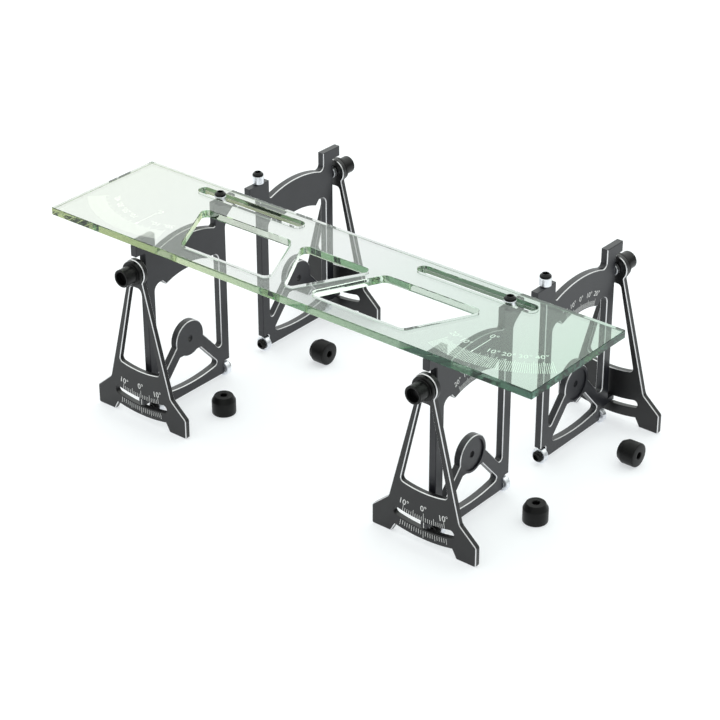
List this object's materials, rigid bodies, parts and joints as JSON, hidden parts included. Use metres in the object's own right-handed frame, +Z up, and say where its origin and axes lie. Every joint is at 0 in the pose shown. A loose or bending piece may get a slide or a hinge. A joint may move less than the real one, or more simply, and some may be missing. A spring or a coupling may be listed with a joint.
{
  "type": "model car wheel alignment set",
  "caption": "Wheel alignment set for a model car: uprights on hinged A-frame feet with rollers and toe pins, a clear slotted plate over the front pair, and loose wheel nuts.",
  "frame": {"origin": "on the bench, under the middle of the set's bounding box", "axes": "+X along the clear toe plate, to the right stands; +Y from the front stands to the rear stands; +Z up"},
  "size_m": [0.2904, 0.1732, 0.1032],
  "materials": {
    "anodised_plate": "black satin anodised with bright edges",
    "anodised_frame": "black satin anodised with bright edges",
    "knob_black": "black anodised, turned",
    "screw_black": "black oxide",
    "bright_aluminium": "bright turned",
    "steel": "turned",
    "clear_glass": "clear with green edges",
    "nut_black": "black anodised"
  },
  "bodies": {
    "toe_plate": {"toe_plate": "clear_glass"},
    "front_left_pin": {"front_left_toe_sleeve": "bright_aluminium"},
    "front_left_stand": {"front_left_main_plate": "anodised_plate", "front_left_pivot_stud": "steel", "front_left_pivot_bush": "steel", "front_left_roller_core": "steel", "front_left_roller_screw": "screw_black", "front_left_outer_screw": "screw_black", "front_left_toe_screw": "screw_black"},
    "front_left_camber_frame": {"front_left_camber_plate": "anodised_frame"},
    "front_left_knob": {"front_left_camber_knob": "knob_black"},
    "front_left_roller": {"front_left_roller_ring": "bright_aluminium"},
    "front_left_outer_roller": {"front_left_outer_roller": "bright_aluminium"},
    "wheel_nut_1": {"wheel_nut_1": "nut_black"},
    "front_right_pin": {"front_right_toe_sleeve": "bright_aluminium"},
    "front_right_stand": {"front_right_main_plate": "anodised_plate", "front_right_pivot_stud": "steel", "front_right_pivot_bush": "steel", "front_right_roller_core": "steel", "front_right_roller_screw": "screw_black", "front_right_outer_screw": "screw_black", "front_right_toe_screw": "screw_black"},
    "front_right_camber_frame": {"front_right_camber_plate": "anodised_frame"},
    "front_right_knob": {"front_right_camber_knob": "knob_black"},
    "front_right_roller": {"front_right_roller_ring": "bright_aluminium"},
    "front_right_outer_roller": {"front_right_outer_roller": "bright_aluminium"},
    "wheel_nut_3": {"wheel_nut_3": "nut_black"},
    "rear_left_pin": {"rear_left_toe_sleeve": "bright_aluminium"},
    "rear_left_stand": {"rear_left_main_plate": "anodised_plate", "rear_left_pivot_stud": "steel", "rear_left_pivot_bush": "steel", "rear_left_roller_core": "steel", "rear_left_roller_screw": "screw_black", "rear_left_outer_screw": "screw_black", "rear_left_toe_screw": "screw_black"},
    "rear_left_camber_frame": {"rear_left_camber_plate": "anodised_frame"},
    "rear_left_knob": {"rear_left_camber_knob": "knob_black"},
    "rear_left_roller": {"rear_left_roller_ring": "bright_aluminium"},
    "rear_left_outer_roller": {"rear_left_outer_roller": "bright_aluminium"},
    "wheel_nut_2": {"wheel_nut_2": "nut_black"},
    "rear_right_pin": {"rear_right_toe_sleeve": "bright_aluminium"},
    "rear_right_stand": {"rear_right_main_plate": "anodised_plate", "rear_right_pivot_stud": "steel", "rear_right_pivot_bush": "steel", "rear_right_roller_core": "steel", "rear_right_roller_screw": "screw_black", "rear_right_outer_screw": "screw_black", "rear_right_toe_screw": "screw_black"},
    "rear_right_camber_frame": {"rear_right_camber_plate": "anodised_frame"},
    "rear_right_knob": {"rear_right_camber_knob": "knob_black"},
    "rear_right_roller": {"rear_right_roller_ring": "bright_aluminium"},
    "rear_right_outer_roller": {"rear_right_outer_roller": "bright_aluminium"},
    "wheel_nut_4": {"wheel_nut_4": "nut_black"}
  },
  "joints": [
    {"name": "front_left_slot_slide", "type": "slide", "parent": "toe_plate", "child": "front_left_pin", "axis": [1, 0, 0], "range_m": [-0.0103, 0.0505]},
    {"name": "front_left_toe", "type": "hinge", "parent": "front_left_pin", "child": "front_left_stand", "pos_m": [-0.0897, -0.0148, 0.0971], "axis": [0, 0, 1], "range_deg": [-40, 10]},
    {"name": "front_left_camber", "type": "hinge", "parent": "front_left_stand", "child": "front_left_camber_frame", "pos_m": [-0.0897, -0.0759, 0.0827], "axis": [0, 1, 0], "range_deg": [-11, 11]},
    {"name": "front_left_knob_turn", "type": "hinge", "parent": "front_left_stand", "child": "front_left_knob", "pos_m": [-0.0897, -0.0814, 0.0827], "axis": [0, 1, 0], "continuous": true},
    {"name": "front_left_roller_turn", "type": "hinge", "parent": "front_left_stand", "child": "front_left_roller", "pos_m": [-0.0897, -0.0165, 0.004], "axis": [0, 1, 0], "continuous": true},
    {"name": "front_left_outer_roller_turn", "type": "hinge", "parent": "front_left_stand", "child": "front_left_outer_roller", "pos_m": [-0.0897, -0.0666, 0.004], "axis": [0, 1, 0], "continuous": true},
    {"name": "wheel_nut_1_lift", "type": "slide", "parent": "front_left_stand", "child": "wheel_nut_1", "axis": [0, 0, 1], "range_m": [0, 0.06]},
    {"name": "front_right_slot_slide", "type": "slide", "parent": "toe_plate", "child": "front_right_pin", "axis": [1, 0, 0], "range_m": [-0.0492, 0.0115]},
    {"name": "front_right_toe", "type": "hinge", "parent": "front_right_pin", "child": "front_right_stand", "pos_m": [0.0883, -0.0148, 0.0971], "axis": [0, 0, 1], "range_deg": [-10, 40]},
    {"name": "front_right_camber", "type": "hinge", "parent": "front_right_stand", "child": "front_right_camber_frame", "pos_m": [0.0883, -0.0759, 0.0827], "axis": [0, 1, 0], "range_deg": [-11, 11]},
    {"name": "front_right_knob_turn", "type": "hinge", "parent": "front_right_stand", "child": "front_right_knob", "pos_m": [0.0883, -0.0814, 0.0827], "axis": [0, 1, 0], "continuous": true},
    {"name": "front_right_roller_turn", "type": "hinge", "parent": "front_right_stand", "child": "front_right_roller", "pos_m": [0.0883, -0.0165, 0.004], "axis": [0, 1, 0], "continuous": true},
    {"name": "front_right_outer_roller_turn", "type": "hinge", "parent": "front_right_stand", "child": "front_right_outer_roller", "pos_m": [0.0883, -0.0666, 0.004], "axis": [0, 1, 0], "continuous": true},
    {"name": "wheel_nut_3_lift", "type": "slide", "parent": "front_right_stand", "child": "wheel_nut_3", "axis": [0, 0, 1], "range_m": [0, 0.06]},
    {"name": "rear_left_bench_slide", "type": "slide", "parent": "toe_plate", "child": "rear_left_pin", "axis": [0, 1, 0], "range_m": [-0.01, 0.04]},
    {"name": "rear_left_toe", "type": "hinge", "parent": "rear_left_pin", "child": "rear_left_stand", "pos_m": [-0.0909, 0.0148, 0.0971], "axis": [0, 0, 1], "range_deg": [-10, 40]},
    {"name": "rear_left_camber", "type": "hinge", "parent": "rear_left_stand", "child": "rear_left_camber_frame", "pos_m": [-0.0909, 0.0759, 0.0827], "axis": [0, 1, 0], "range_deg": [-11, 11]},
    {"name": "rear_left_knob_turn", "type": "hinge", "parent": "rear_left_stand", "child": "rear_left_knob", "pos_m": [-0.0909, 0.0814, 0.0827], "axis": [0, 1, 0], "continuous": true},
    {"name": "rear_left_roller_turn", "type": "hinge", "parent": "rear_left_stand", "child": "rear_left_roller", "pos_m": [-0.0909, 0.0165, 0.004], "axis": [0, 1, 0], "continuous": true},
    {"name": "rear_left_outer_roller_turn", "type": "hinge", "parent": "rear_left_stand", "child": "rear_left_outer_roller", "pos_m": [-0.0909, 0.0666, 0.004], "axis": [0, 1, 0], "continuous": true},
    {"name": "wheel_nut_2_lift", "type": "slide", "parent": "rear_left_stand", "child": "wheel_nut_2", "axis": [0, 0, 1], "range_m": [0, 0.06]},
    {"name": "rear_right_bench_slide", "type": "slide", "parent": "toe_plate", "child": "rear_right_pin", "axis": [0, 1, 0], "range_m": [-0.01, 0.04]},
    {"name": "rear_right_toe", "type": "hinge", "parent": "rear_right_pin", "child": "rear_right_stand", "pos_m": [0.0878, 0.0138, 0.0971], "axis": [0, 0, 1], "range_deg": [-40, 10]},
    {"name": "rear_right_camber", "type": "hinge", "parent": "rear_right_stand", "child": "rear_right_camber_frame", "pos_m": [0.0878, 0.0749, 0.0827], "axis": [0, 1, 0], "range_deg": [-11, 11]},
    {"name": "rear_right_knob_turn", "type": "hinge", "parent": "rear_right_stand", "child": "rear_right_knob", "pos_m": [0.0878, 0.0804, 0.0827], "axis": [0, 1, 0], "continuous": true},
    {"name": "rear_right_roller_turn", "type": "hinge", "parent": "rear_right_stand", "child": "rear_right_roller", "pos_m": [0.0878, 0.0155, 0.004], "axis": [0, 1, 0], "continuous": true},
    {"name": "rear_right_outer_roller_turn", "type": "hinge", "parent": "rear_right_stand", "child": "rear_right_outer_roller", "pos_m": [0.0878, 0.0656, 0.004], "axis": [0, 1, 0], "continuous": true},
    {"name": "wheel_nut_4_lift", "type": "slide", "parent": "rear_right_stand", "child": "wheel_nut_4", "axis": [0, 0, 1], "range_m": [0, 0.06]}
  ]
}
